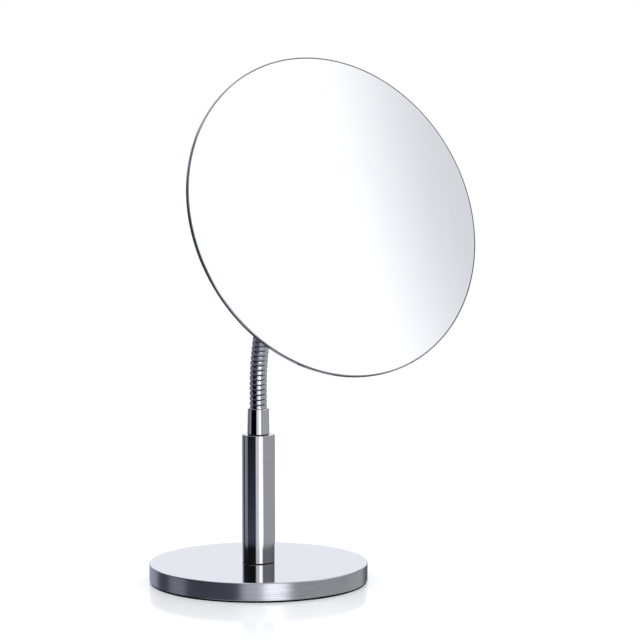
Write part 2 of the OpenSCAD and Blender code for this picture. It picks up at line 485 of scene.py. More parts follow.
def coat_surface(
    tree: bpy.types.NodeTree,
    share: Number,
    colours: tuple[str, str],
    roughness: Number,
    height: Number,
    depth: float,
    inputs: dict[str, object],
) -> None:
    """Ends a material's tree in a surface with two colours and a relief.

    Args:
        tree: The material's node tree.
        share: How much of the second colour there is.
        colours: The two colours, sRGB hex.
        roughness: The surface's roughness.
        height: The relief's height, from 0 to 1.
        depth: The relief's depth in mm, or 0 for none.
        inputs: The surface's other inputs.
    """
    first, second = (srgb(code) for code in colours)
    tone = add_node(tree, "ShaderNodeMix", {0: share, 6: first, 7: second}, data_type="RGBA")
    surface = {"Base Color": tone.outputs[2], "Roughness": roughness, **inputs}
    if depth:
        relief = {"Height": height, "Distance": depth * MM, "Strength": 1.0}
        surface["Normal"] = add_node(tree, "ShaderNodeBump", relief).outputs[0]
    shader = add_node(tree, "ShaderNodeBsdfPrincipled", surface)
    add_node(tree, "ShaderNodeOutputMaterial", {"Surface": shader.outputs[0]})


# Grit and die lines are really 0.02 to 0.1 mm apart, and grains and pores 0.1 to 0.4 mm wide.
# Those are drawn several times as coarse, so that they show at all.

# Stainless steel brushed on a lathe: fine rings that pull highlights up and down
TURNED_STEEL = MetalFinish(
    "turned brushed stainless steel", "C6C7CB", "B4B5BA", 0.24, 0.34, Lay.TURNED,
    spacing=0.35, length=26.0, depth=0.0006, anisotropy=0.85,
)
# The cover's top, faced and polished: a clear reflection with barely visible rings
FACED_STEEL = MetalFinish(
    "faced polished stainless steel", "D9DADD", "D3D4D8", 0.06, 0.1, Lay.TURNED,
    spacing=0.6, length=40.0, depth=0.0001,
)
# Stainless tube lapped in the lathe: crisp upright stripes, blurred only up and down
LAPPED_STEEL = MetalFinish(
    "turned lapped stainless steel", "CFD0D4", "C2C4C9", 0.09, 0.12, Lay.TURNED,
    spacing=0.3, length=18.0, depth=0.0001, anisotropy=0.85,
)
# Ferrules polished in the lathe: bright, with faint rings
POLISHED_STEEL = MetalFinish(
    "turned polished stainless steel", "D6D7DA", "CBCCD0", 0.05, 0.08, Lay.TURNED,
    spacing=0.3, length=12.0, depth=0.0002,
)
# Spring steel wire drawn through a shaped die: bright, with faint lines along it
DRAWN_WIRE = MetalFinish(
    "bright drawn stainless wire", "D0D2D6", "BFC1C6", 0.09, 0.16, Lay.WOUND,
    spacing=0.22, length=9.0, depth=0.0003,
)
# Steel sheet spun over a former: satin rings, as far apart as the roller's feed leaves them
SPUN_STEEL = MetalFinish(
    "spun satin stainless steel", "D2D3D6", "C2C3C7", 0.16, 0.25, Lay.SPUN,
    spacing=0.45, length=30.0, depth=0.0008, anisotropy=0.6,
)
# The pan's rim, rolled over and polished: bright and dark by turns round the glass
ROLLED_STEEL = MetalFinish(
    "rolled polished stainless steel", "C0C2C6", "B6B8BD", 0.07, 0.11, Lay.SPUN,
    spacing=0.3, length=24.0, depth=0.0001,
)
# Float glass slumped to a hollow and silvered on its back: as bright as silver gets, with
# broad faint clouds at their real size
SILVERED_GLASS = MetalFinish(
    "slumped silvered glass", "F8FAF9", "F5F8F7", 0.0, 0.006, Lay.SPUN,
    spacing=14.0, length=60.0, depth=0.0,
)
# Grey iron cast in sand and painted: dull black with the sand's grain
PAINTED_IRON = SoftFinish("painted sand cast iron", "2E2F31", "1C1D1F", 0.55, 1.6, 0.06)
# Foam rubber sheet: matt black with fine closed pores
FOAM_RUBBER = SoftFinish(
    "black foam rubber sheet", "131416", "0A0B0C", 0.82, 0.8, 0.05, specular=0.1
)
# Painted shade: the faces of each undercut get this matt black, which draws the dark shadow-gap
# seams at the feet of the column and ferrules
GAP_SHADE_BLACK = SoftFinish(
    "moulded black rubber", "161719", "0E0F10", 0.6, 0.5, 0.01, specular=0.2
)
# Steel plated with zinc: pale bluish grey, a little cloudy
ZINC_PLATE = SoftFinish("zinc plated steel", "BDC3CB", "A5ABB4", 0.34, 2.2, 0.004, metallic=1.0)
# Round spring steel wire, its colour darkened as painted shade, so that the grooves between the
# outer turns read as dark lines
GROOVE_SHADE_WIRE = SoftFinish(
    "oiled spring steel wire", "6E7076", "4C4E54", 0.3, 0.9, 0.002, metallic=1.0
)
# White adhesive foam tape: matt, with open pores
ADHESIVE_FOAM = SoftFinish("white adhesive foam", "E6E6E1", "CFCFC8", 0.85, 0.7, 0.06)


def dress(piece: bpy.types.Object, material: bpy.types.Material) -> None:
    """Gives an object one material on all its faces.

    Args:
        piece: The object.
        material: The material.
    """
    if not piece.material_slots:
        piece.data.materials.append(material)
    for place in piece.material_slots:
        place.material = material


def dress_some(
    piece: bpy.types.Object,
    material: bpy.types.Material,
    chosen: Callable[[bpy.types.MeshPolygon], bool],
) -> None:
    """Gives some of a piece's faces another material.

    Args:
        piece: The piece, which already has a material.
        material: The other material.
        chosen: Says which faces get it.
    """
    piece.data.materials.append(material)
    for face in piece.data.polygons:
        if chosen(face):
            face.material_index = len(piece.data.materials) - 1


def dress_nodes(finish: SoftFinish, *names: str) -> None:
    """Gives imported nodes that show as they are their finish."""
    for name in names:
        dress(FRAME["nodes"][name], finish.build())


def corners_of(node: str) -> tuple[Vector, Vector]:
    """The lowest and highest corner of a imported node's box, in millimetres."""
    low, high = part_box(node)
    return low / MM, high / MM


# ---- The object's assemblies ----


@dataclass
class Base:
    """The heavy round base: a drawn cover over an iron weight on a foot pad.

    Attributes:
        wall: The cover's wall.
        edge: The rounding of the cover's top edge.
        inner_edge: The rounding inside that edge.
        rim_chamfer: The chamfer on the rim's foot.
        hole_r: The radius of the hole for the tie rod.
        pad_flange: How far the pad's foot reaches out under the rim.
        pad_gap: The gap between that flange and the rim.
        pad_chamfer: The chamfer on the pad's foot.
    """

    wall: float = 1.0
    edge: float = 0.9
    inner_edge: float = 0.4
    rim_chamfer: float = 0.25
    hole_r: float = 3.2
    pad_flange: float = 1.5
    pad_gap: float = 0.1
    pad_chamfer: float = 0.15

    def build(self) -> list[bpy.types.Object]:
        """Makes and dresses the base.

        Returns:
            The new pieces.
        """
        dress_nodes(PAINTED_IRON, "base_weight")
        dress_nodes(ZINC_PLATE, "base_nut", "base_washer")
        return [self._cover(), self._pad()]

    def _cover(self) -> bpy.types.Object:
        """Makes and dresses the drawn cover.

        Returns:
            The cover.
        """
        low, high = corners_of("base_cover")
        radius, top, rim = high.x, high.z, low.z
        inner, under, cut = radius - self.wall, top - self.wall, self.rim_chamfer
        outer_edge, inner_edge = self.edge, self.inner_edge
        outline = guarded([
            (self.hole_r, under),
            (self.hole_r, top),
            *rounded((radius - outer_edge, top - outer_edge), outer_edge, 90, 0, 12),
            (radius, rim + cut),
            (radius - cut, rim),
            (inner + cut / 2, rim),
            (inner, rim + cut / 2),
            *rounded((inner - inner_edge, under - inner_edge), inner_edge, 0, 90, 5),
        ])
        cover = turned("cover_of_base", outline, segments=320)
        dress(cover, TURNED_STEEL.build())
        facing_up = math.cos(math.radians(45))
        dress_some(cover, FACED_STEEL.build(), lambda face: face.normal.z > facing_up)
        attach(cover, "base")
        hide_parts("base_cover")
        return cover

    def _pad(self) -> bpy.types.Object:
        """Makes and dresses the foot pad.

        Returns:
            The pad.
        """
        low, high = corners_of("base_pad")
        radius, top = high.x, high.z
        foot_r = radius + self.pad_flange
        step = corners_of("base_cover")[0].z - self.pad_gap
        cut = self.pad_chamfer
        outline = guarded([
            (0, low.z), (foot_r - cut, low.z), (foot_r, low.z + cut), (foot_r, step),
            (radius, step), (radius, top), (0, top),
        ])
        pad = turned("pad_under_base", outline)
        dress(pad, FOAM_RUBBER.build())
        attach(pad, "base")
        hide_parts("base_pad")
        return pad


@dataclass
class Column:
    """The polished tube on the base, with its fixings inside.

    Attributes:
        wall: The tube's wall.
        cap: The thickness of its closed top.
        edge: The rounding of its top edge.
        seat, seat_d: The height and depth of the undercut at its foot, whose faces are painted
            black as the seam's shade.
        foot_chamfer: The chamfer above the undercut.
        hole_r: The radius of the hole in its top.
    """

    wall: float = 1.2
    cap: float = 1.5
    edge: float = 0.35
    seat: float = 0.45
    seat_d: float = 0.35
    foot_chamfer: float = 0.15
    hole_r: float = 4.1

    def build(self) -> list[bpy.types.Object]:
        """Makes and dresses the column.

        Returns:
            The new pieces.
        """
        low, high = corners_of("column_sleeve")
        radius, foot, top = high.x, low.z, high.z
        bore, seat_r = radius - self.wall, radius - self.seat_d
        seat_top, cut = foot + self.seat, self.foot_chamfer
        outline = guarded([
            (bore, foot),
            (seat_r, foot),
            (seat_r, seat_top),
            (radius - cut, seat_top),
            (radius, seat_top + cut),
            *rounded((radius - self.edge, top - self.edge), self.edge, 0, 90, 8),
            (self.hole_r, top),
            (self.hole_r, top - self.cap),
            (bore, top - self.cap),
        ])
        sleeve = turned("sleeve_of_column", outline, segments=192)
        dress(sleeve, LAPPED_STEEL.build())
        # The undercut's faces are painted matt black, as the shade of the seam at the column's foot
        dress_some(
            sleeve, GAP_SHADE_BLACK.build(), lambda face: face.center.z / MM < seat_top - HAIR
        )
        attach(sleeve, "base")
        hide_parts("column_sleeve")
        dress_nodes(ZINC_PLATE, "column_centring_ring", "column_tie_rod")
        return [sleeve]


@dataclass(frozen=True)
class WireShape:
    """The section of a wound wire. Each field is an input of the tree that winds it.

    Attributes:
        outer_radius: The winding's outer radius.
        wire_width: The wire's width along the neck.
        crown: The height of its crowned outer face.
        wire_depth: Its whole depth towards the axis.
        taper: How much narrower its inner side is, as a share.
        squareness: 1 for a round section, less for one with square sides.
        shift: How far along the neck it lies, in turns.
        steps_for_each_turn: How many sections each turn has.
        section_points: How many points its section has.
    """

    outer_radius: float
    wire_width: float
    crown: float
    wire_depth: float
    taper: float
    squareness: float
    shift: float
    steps_for_each_turn: float
    section_points: int


def input_name(field_name: str) -> str:
    """The name that a field has as an input of the winding tree."""
    return field_name.replace("_", " ").capitalize()


@dataclass
class Gooseneck:
    """The flexible neck: a ferrule at each end and two wires wound between them.

    Attributes:
        foot_r, mouth_r: A ferrule's radius at its foot and at its mouth.
        lower_l, upper_l: The two ferrules' lengths.
        groove, groove_d: The height and depth of the undercut at a ferrule's foot.
        small: The rounding of the ferrule's edges.
        lip: The chamfered lip at its mouth.
        socket_r, socket_l: The radius and depth of the socket for the wound wires.
        socket_cut: The chamfer at the socket's mouth.
        spigot_r, spigot_l: The lower ferrule's spigot in the column.
        rod_r, screw_r: The bores for the tie rod and the mirror's screw.
        outer: The outer wire, a wedge whose crowned face shows.
        inner: The round wire inside, which lies behind the outer wire's grooves.
        pitch: The winding's rise for each turn.
        turns: The number of turns in each section.
        sections: The number of sections.
        trim: How much shorter a length of wire is at each end, in turns.
        rise: The straight length above the lower ferrule.
        bends: Radius and angle in degrees of each of the two bends.
    """

    foot_r: float = 7.1
    mouth_r: float = 6.75
    lower_l: float = 16.6
    upper_l: float = 12.0
    groove: float = 0.4
    groove_d: float = 0.4
    small: float = 0.08
    lip: float = 0.4
    socket_r: float = 5.65
    socket_l: float = 8.5
    socket_cut: float = 0.2
    spigot_r: float = 4.0
    spigot_l: float = 1.5
    rod_r: float = 3.05
    screw_r: float = 2.55
    outer: WireShape = WireShape(5.5, 2.62, 0.17, 1.4, 0.8, 0.42, 0.0, 96.0, 28)
    inner: WireShape = WireShape(4.7, 1.24, 0.62, 1.24, 0.0, 1.0, 0.5, 48.0, 14)
    pitch: float = 3.24
    turns: int = 3
    sections: int = 17
    trim: float = 0.0025
    rise: float = 13.4
    bends: tuple[tuple[float, float], ...] = ((120.0, 31.0), (103.8, 40.2))

    @property
    def foot_z(self) -> float:
        """The height of the winding's foot, at the lower ferrule's mouth."""
        return corners_of("neck_lower_ferrule")[1].z

    @property
    def length(self) -> float:
        """The neck's length between the ferrules' mouths."""
        return self.rise + sum(radius * math.radians(turn) for radius, turn in self.bends)

    @property
    def tuck(self) -> float:
        """How far the winding runs into each ferrule."""
        return (self.sections * self.turns * self.pitch - self.length) / 2

    @property
    def lean(self) -> float:
        """How far the neck's end leans forward, in degrees."""
        return sum(turn for _, turn in self.bends)

    def at(self, run: float) -> Vector:
        """A point on the neck's axis.

        Args:
            run: The distance along the axis from the lower ferrule's mouth.

        Returns:
            The point, in millimetres.
        """
        reach, height, lean = 0.0, self.foot_z + min(run, self.rise), 0.0
        left = run - self.rise
        for radius, turn in self.bends:
            part = min(max(left / radius, 0.0), math.radians(turn))
            reach += radius * (math.cos(lean) - math.cos(lean + part))
            height += radius * (math.sin(lean + part) - math.sin(lean))
            lean += part
            left -= radius * math.radians(turn)
        tail = max(left, 0.0)
        return Vector((0.0, -reach - tail * math.sin(lean), height + tail * math.cos(lean)))

    def build(self, back_of_mirror: Matrix) -> list[bpy.types.Object]:
        """Makes and dresses the neck.

        Args:
            back_of_mirror: Where the upper ferrule's foot sits, its length
                running down the frame's own z axis, in millimetres.

        Returns:
            The new pieces.
        """
        on_column = Matrix.Translation((0, 0, self.foot_z - self.lower_l))
        on_mirror = back_of_mirror @ Matrix.Rotation(math.pi, 4, "X")
        lower = self._ferrule(
            "ferrule_on_column", on_column, self.lower_l, self.rod_r, self.spigot_l
        )
        upper = self._ferrule("ferrule_on_mirror", on_mirror, self.upper_l, self.screw_r)
        for ferrule, node, body in (
            (lower, "neck_lower_ferrule", "base"),
            (upper, "neck_upper_ferrule", "head"),
        ):
            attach(ferrule, body)
            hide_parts(node)
        return [lower, upper, *self._winding()]

    def _ferrule(
        self, name: str, place: Matrix, length: float, bore_r: float, spigot_l: float = 0.0
    ) -> bpy.types.Object:
        """Turns and dresses a tapered ferrule with a socket in its mouth.

        Args:
            name: The piece's name.
            place: Where its foot stands.
            length: The ferrule's length.
            bore_r: The radius of its through bore.
            spigot_l: The length of the spigot below its foot, or 0.

        Returns:
            The ferrule.
        """
        neck_r, small = self.foot_r - self.groove_d, self.small
        lip_r = self.mouth_r - self.lip / 2
        foot: Outline = [(bore_r, -spigot_l)]
        if spigot_l:
            foot += [(self.spigot_r, -spigot_l), (self.spigot_r, 0)]
        outline = guarded([
            *foot,
            (neck_r, 0),
            (neck_r, self.groove),
            *rounded((self.foot_r - small, self.groove + small), small, -90, 0, 4),
            (self.mouth_r, length - self.lip),
            (lip_r, length - small),
            *rounded((lip_r - small, length - small), small, 30, 90, 4),
            (self.socket_r + self.socket_cut, length),
            (self.socket_r, length - self.socket_cut),
            (self.socket_r, length - self.socket_l),
            (bore_r, length - self.socket_l),
        ])
        ferrule = turned(name, outline, place, segments=160)
        dress(ferrule, POLISHED_STEEL.build(place))
        to_ferrule = place.inverted()

        def in_groove(face: bpy.types.MeshPolygon) -> bool:
            """Whether a face is in the undercut, whose faces get matt black as painted shade.

            Args:
                face: A face of the ferrule.

            Returns:
                Whether it is.
            """
            spot = to_ferrule @ (face.center / MM)
            beside_wall = spot.xy.length > neck_r - self.groove_d / 2
            return beside_wall and HAIR < spot.z < self.groove - HAIR

        # The undercut's faces are painted matt black, as the shade of the seam at the ferrule's
        # foot
        dress_some(ferrule, GAP_SHADE_BLACK.build(), in_groove)
        return ferrule

    def _winding(self) -> list[bpy.types.Object]:
        """Winds both wires, a length of each in each section of the neck.

        Returns:
            The wires' lengths.
        """
        tree = self._wire_tree()
        bodies = ["base", *(f"section_{k:02d}" for k in range(2, self.sections)), "head"]
        wires = (
            (self.outer, DRAWN_WIRE.build(), "wire_of_neck", "neck_winding", "gooseneck_wire"),
            # The inner wire's darkened colour is painted shade in the grooves between the outer
            # turns
            (self.inner, GROOVE_SHADE_WIRE.build(), "wire_inside", "neck_core", "zinc_fixings"),
        )
        pieces = []
        for k, body in enumerate(bodies, start=1):
            for shape, wire, name, node, slot in wires:
                # Cut level with the hinges, where the cut ends slide past each other
                start, end = (
                    hinge * self.turns - (shape.shift if 0 < hinge < self.sections else 0.0)
                    for hinge in (k - 1, k)
                )
                sizes = {input_name(part): size for part, size in asdict(shape).items()}
                sizes |= {"First turn": start + self.trim, "Last turn": end - self.trim}
                piece = self._wound(f"{name}_{k:02d}", tree, {**sizes, "Wire": wire})
                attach(piece, body)
                if f"{node}_{k:02d}" in FRAME["nodes"]:
                    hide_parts(f"{node}_{k:02d}")
                pieces.append(piece)
        return pieces

    def _wound(
        self, name: str, tree: bpy.types.NodeTree, sizes: dict[str, object]
    ) -> bpy.types.Object:
        """Winds one length of wire.

        Args:
            name: The piece's name.
            tree: The Geometry Nodes tree that winds a wire.
            sizes: The values of the tree's inputs, by their names.

        Returns:
            The length of wire, as a plain mesh.
        """
        maker = shown(f"maker_of_{name}", bpy.data.meshes.new(name))
        winder = maker.modifiers.new("winder", "NODES")
        winder.node_group = tree
        for socket in tree.interface.items_tree:
            if socket.in_out == "INPUT" and socket.name in sizes:
                winder[socket.identifier] = sizes[socket.name]
        depsgraph = bpy.context.evaluated_depsgraph_get()
        mesh = bpy.data.meshes.new_from_object(
            maker.evaluated_get(depsgraph), preserve_all_data_layers=True, depsgraph=depsgraph
        )
        maker.modifiers.clear()
        bpy.data.objects.remove(maker)
        mesh.name = name
        finish_mesh(mesh, crease=50.0)
        return shown(name, mesh)

    def _wire_tree(self) -> bpy.types.NodeTree:
        """Builds the Geometry Nodes tree that winds a wire on the neck.

        Returns:
            The tree, with named inputs for its sizes.
        """
        tree = bpy.data.node_groups.new("wound_wire", "GeometryNodeTree")
        tree.interface.new_socket("Winding", in_out="OUTPUT", socket_type="NodeSocketGeometry")
        sizes = {
            "First turn": 0.0, "Last turn": 1.0, "Pitch": self.pitch, "Tuck": self.tuck,
            "Foot height": self.foot_z, "Rise": self.rise,
        }
        for bend, (radius, turn) in zip(("Lower bend", "Upper bend"), self.bends):
            sizes |= {f"{bend} radius": radius, bend: math.radians(turn)}
        sizes |= {input_name(name): value for name, value in asdict(self.outer).items()}
        for name, value in sizes.items():
            kind = "NodeSocketInt" if isinstance(value, int) else "NodeSocketFloat"
            socket = tree.interface.new_socket(name, in_out="INPUT", socket_type=kind)
            socket.default_value = value
        tree.interface.new_socket("Wire", in_out="INPUT", socket_type="NodeSocketMaterial")
        given = add_node(tree, "NodeGroupInput")
        size = {name: Number(tree, given.outputs[name]) for name in sizes}

        # A ring of points pressed into the wire's section: crowned above, tapered below
        circle = {"Resolution": size["Section points"], "Radius": 1.0}
        ring = add_node(tree, "GeometryNodeCurvePrimitiveCircle", circle)
        here = add_node(tree, "GeometryNodeInputPosition").outputs[0]
        split = add_node(tree, "ShaderNodeSeparateXYZ", {0: here})
        x, y, _ = (Number(tree, part) for part in split.outputs)
        upper = y.calc("GREATER_THAN", 0.0)
        lower = 1.0 - upper
        # Squareness flattens the crown about a third as much as it does the sides
        bulge = y.calc("ABSOLUTE") ** (size["Squareness"] * 0.35 + 0.65)
        side = x.calc("SIGN") * x.calc("ABSOLUTE") ** size["Squareness"]
        breadth = side * (1.0 - lower * bulge * size["Taper"]) * size["Wire width"] * 0.5
        inward = bulge * lower * (size["Wire depth"] - size["Crown"])
        outward = bulge * upper * size["Crown"] - inward
        pressed = {
            "Geometry": ring.outputs[0],
            "Position": add_node(tree, "ShaderNodeCombineXYZ", {0: breadth, 1: outward}).outputs[0],
        }
        section = add_node(tree, "GeometryNodeSetPosition", pressed).outputs[0]

        # A straight run, one unit for each turn, that carries the section
        ends = {
            end: add_node(tree, "ShaderNodeCombineXYZ", {0: size[turn]}).outputs[0]
            for end, turn in (("Start", "First turn"), ("End", "Last turn"))
        }
        run = add_node(tree, "GeometryNodeCurvePrimitiveLine", ends).outputs[0]
        steps = (size["Last turn"] - size["First turn"]) * size["Steps for each turn"] + 1.0
        spaced = add_node(tree, "GeometryNodeResampleCurve", {"Curve": run, "Count": steps})
        sweep = {"Curve": spaced.outputs[0], "Profile Curve": section, "Fill Caps": True}
        swept = add_node(tree, "GeometryNodeCurveToMesh", sweep).outputs[0]

        # Each point's place in the straight run says how far round the neck it winds, how far
        # along the wire's width it lies and how far out
        here = add_node(tree, "GeometryNodeInputPosition").outputs[0]
        split = add_node(tree, "ShaderNodeSeparateXYZ", {0: here})
        turn, minus_along, minus_out = (Number(tree, part) for part in split.outputs)
        along = minus_along * -1.0
        out = size["Outer radius"] - size["Crown"] - minus_out
        girth = out * (2 * math.pi)
        lay = add_node(tree, "ShaderNodeCombineXYZ", {0: turn * girth, 1: along, 2: out})
        marked = add_node(
            tree,
            "GeometryNodeStoreNamedAttribute",
            {"Geometry": swept, "Name": "wire_lay", "Value": lay.outputs[0]},
            data_type="FLOAT_VECTOR",
            domain="POINT",
        )

        # The neck's axis at that turn: it rises straight and then bends twice
        past = (turn + size["Shift"]) * size["Pitch"] - size["Tuck"]
        reach, height = 0.0, past.calc("MINIMUM", size["Rise"])
        past, lean, cosine, sine = past - size["Rise"], 0.0, 1.0, 0.0
        for bend in ("Lower bend", "Upper bend"):
            radius = size[f"{bend} radius"]
            lean = (past / radius).clamp(0.0, size[bend]) + lean
            past = past - radius * size[bend]
            leant = lean.calc("COSINE"), lean.calc("SINE")
            reach = radius * (cosine - leant[0]) + reach
            height = radius * (leant[1] - sine) + height
            cosine, sine = leant
        tail = past.calc("MAXIMUM", 0.0)
        reach, height = reach + tail * sine, height + tail * cosine

        # The point on the winding about that axis, starting at the neck's back
        bearing = turn * (2 * math.pi) + math.pi / 2
        up = out * bearing.calc("SINE")
        spot = {
            0: out * bearing.calc("COSINE") * MM,
            1: (up * cosine - reach - along * sine) * MM,
            2: (size["Foot height"] + height + along * cosine + up * sine) * MM,
        }
        moved = {
            "Geometry": marked.outputs[0],
            "Position": add_node(tree, "ShaderNodeCombineXYZ", spot).outputs[0],
        }
        wound = add_node(tree, "GeometryNodeSetPosition", moved).outputs[0]
        solid = add_node(tree, "GeometryNodeRealizeInstances", {"Geometry": wound}).outputs[0]
        worn = {"Geometry": solid, "Material": given.outputs["Wire"]}
        dressed = add_node(tree, "GeometryNodeSetMaterial", worn).outputs[0]
        add_node(tree, "NodeGroupOutput", {0: dressed})
        return tree


@dataclass
class MirrorHead:
    """The round mirror: a slumped glass in a spun pan.

    Attributes:
        edge_t: The rim's thickness.
        rim_t: The width of the pan's rim round the glass.
        pan_t: The pan's sheet thickness.
        pan_r: The radius of curvature of the pan's back.
        back_edge: The rounding of the rim's back edge.
        rim_chamfer: The chamfer on the rim's front edge.
        small: The rounding of the rim's front edges.
        boss_r, boss_h, boss_run: The pressed boss: its radius, depth and slope.
        screw_hole_r: The hole for the screw in the boss.
        glass_t: The glass's thickness.
        glass_r: The radius of curvature of the glass.
        glass_gap: The gap between the glass and the pan's rim.
        outer_r: The mirror's own radius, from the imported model.
    """

    edge_t: float = 2.4
    rim_t: float = 0.6
    pan_t: float = 0.5
    pan_r: float = 900.0
    back_edge: float = 0.5
    rim_chamfer: float = 0.4
    small: float = 0.12
    boss_r: float = 15.0
    boss_h: float = 2.4
    boss_run: float = 2.0
    screw_hole_r: float = 2.7
    glass_t: float = 1.8
    glass_r: float = 1200.0
    glass_gap: float = 0.2
    outer_r: float = field(init=False, default=0.0)

    def __post_init__(self) -> None:
        """Takes the mirror's radius from the frame."""
        low, high = corners_of("mirror_back_pan")
        self.outer_r = (high.x - low.x) / 2

    @property
    def glass_edge_r(self) -> float:
        """The glass's radius."""
        return self.outer_r - self.rim_t - self.glass_gap

    @property
    def depth(self) -> float:
        """The head's depth from its rim to the boss."""
        return self.edge_t + self._dish(self.pan_r, 0.0) + self.boss_h

    def _dish(self, curve: float, r: float) -> float:
        """How deep a face of a radius of curvature is at r, below its edge."""
        return math.sqrt(curve**2 - r * r) - math.sqrt(curve**2 - self.glass_edge_r**2)

    def _dished(self, curve: float, start: float, end: float, edge_z: float, steps: int) -> Outline:
        """Points of a dished face.

        Args:
            curve: The face's radius of curvature.
            start: The first point's distance from the middle.
            end: The last point's distance from the middle.
            edge_z: The height of the face's edge.
            steps: How many chords it has.

        Returns:
            The points.
        """
        radii = [start + (end - start) * i / steps for i in range(steps + 1)]
        return [(r, edge_z - self._dish(curve, r)) for r in radii]

    def build(self, place: Matrix) -> list[bpy.types.Object]:
        """Makes and dresses the mirror.

        Args:
            place: The mirror's own frame, its rim at z = 0 and facing +z.

        Returns:
            The new pieces.
        """
        pan = turned("pan_of_mirror", self._pan_outline(), place, segments=360)
        dress(pan, SPUN_STEEL.build(place))
        to_mirror = place.inverted()
        rim_r = self.outer_r - self.rim_t * 1.25

        def on_rim(face: bpy.types.MeshPolygon) -> bool:
            """Whether a face is on the pan's polished rim."""
            return (to_mirror @ (face.center / MM)).xy.length > rim_r

        dress_some(pan, ROLLED_STEEL.build(place), on_rim)
        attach(pan, "head")
        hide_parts("mirror_back_pan")
        glass = turned("glass_of_mirror", self._glass_outline(), place, segments=360)
        dress(glass, SILVERED_GLASS.build(place))
        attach(glass, "head")
        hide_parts("mirror_glass")
        dress_nodes(ADHESIVE_FOAM, "mirror_foam_ring")
        dress_nodes(ZINC_PLATE, "mirror_screw", "mirror_washer")
        return [pan, glass]

    def _pan_outline(self) -> Outline:
        """Draws the spun pan's outline.

        Returns:
            The outline, from the screw's hole outwards over the back and home inside.
        """
        outer, rim = self.outer_r, self.outer_r - self.rim_t
        back, seat = -self.edge_t, self.pan_t - self.edge_t
        foot_r, crest = self.boss_r - self.boss_run, -self.depth
        small, cut, edge = self.small, self.rim_chamfer, self.back_edge
        # Where the chamfer's corners start to round, and the guards beside long straight runs
        bite, guard = small * math.tan(math.radians(22.5)), 0.06
        return [
            (self.screw_hole_r, crest),
            # The boss, with its crest and its foot eased
            (foot_r - 0.4, crest),
            (foot_r, crest + 0.12),
            (foot_r + 0.5 * self.boss_run, crest + 0.5 * self.boss_h),
            (self.boss_r - 0.15, back - self._dish(self.pan_r, self.boss_r) - 0.25),
            *self._dished(self.pan_r, self.boss_r + 0.3, self.glass_edge_r - 0.4, back, 44),
            # The rim
            *rounded((outer - edge, back + edge), edge, -78, 0, 9),
            (outer, back + edge + guard),
            (outer, -cut - bite - guard),
            *rounded((outer - small, -cut - bite), small, 0, 45, 4),
            *rounded((outer - cut - bite, -small), small, 45, 90, 4),
            *rounded((rim + small, -small), small, 90, 180, 4),
            (rim, seat + 0.1),
            (rim - 0.1, seat),
            # The pan's inside
            *self._dished(self.pan_r, self.glass_edge_r, self.boss_r, seat, 24),
            (foot_r - 0.25, crest + self.pan_t),
            (self.screw_hole_r, crest + self.pan_t),
        ]

    def _glass_outline(self) -> Outline:
        """Draws the glass's outline.

        Returns:
            The outline, from the middle of its back round to the middle of its face.
        """
        edge, bevel = self.glass_edge_r, 0.2
        front = -(self.edge_t - self.pan_t - self.glass_t)
        return [
            *self._dished(self.glass_r, 0.0, edge, front - self.glass_t, 40),
            (edge, front - bevel),
            *self._dished(self.glass_r, edge - bevel, 0.0, front, 60),
        ]


# ---- Studio ----


@dataclass(frozen=True)
class Card:
    """A light card or a flag that only reflections see.

    All angles are in degrees.

    Attributes:
        middle: Its middle, to the right of the camera's own bearing.
        width: Its whole width.
        low, high: Its lower and upper edges' elevations.
        level: How bright it is, where 1 is white.
        tint: Its colour, sRGB hex.
        soft, soft_rise: How wide the softness of its upright and of its level edges is.
        slant: How far its middle moves for each degree of elevation.
    """

    middle: float
    width: float
    low: float
    high: float
    level: float
    tint: str = "F6F8FF"
    soft: float = 4.0
    soft_rise: float = 12.0
    slant: float = 0.0


